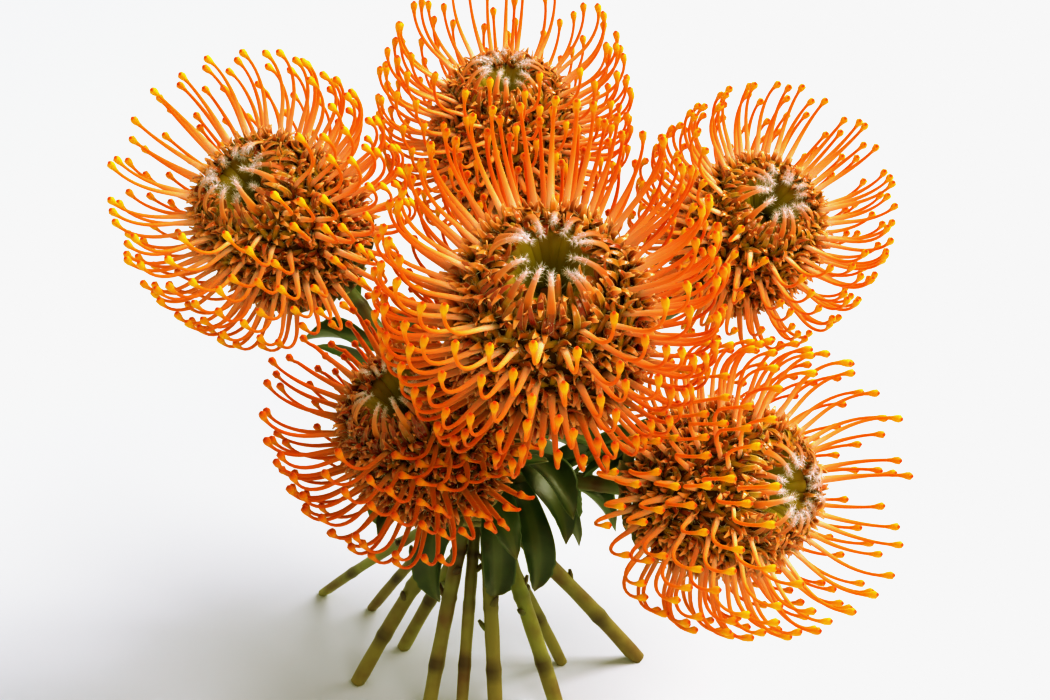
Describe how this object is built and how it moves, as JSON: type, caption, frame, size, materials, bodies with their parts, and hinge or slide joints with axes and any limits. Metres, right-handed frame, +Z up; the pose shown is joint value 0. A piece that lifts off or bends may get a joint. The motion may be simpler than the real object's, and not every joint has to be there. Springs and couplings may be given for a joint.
{
  "type": "tied bunch of pincushion protea flowers",
  "caption": "Hand-tied bunch of pincushion protea flowers with hooked orange styles and leafy stems, standing by itself on splayed cut stem ends.",
  "frame": {"origin": "on the surface that the cut stem ends stand on, under the middle of the bunch's outline", "axes": "+Z up along the bunch, -Y towards the side that the largest flower faces, +X to the right as seen from there"},
  "size_m": [0.288, 0.2824, 0.2598],
  "materials": {
    "bloom": "matte",
    "stem": "matte",
    "twine": "matte"
  },
  "bodies": {
    "root": {"head_1": "bloom", "head_2": "bloom", "head_3": "bloom", "head_4": "bloom", "head_5": "bloom", "head_6": "bloom", "stem_1": "stem", "stem_2": "stem", "stem_3": "stem", "stem_4": "stem", "stem_5": "stem", "stem_6": "stem", "stem_7": "stem", "stem_8": "stem", "stem_9": "stem", "stem_10": "stem", "tie": "twine"}
  },
  "joints": []
}
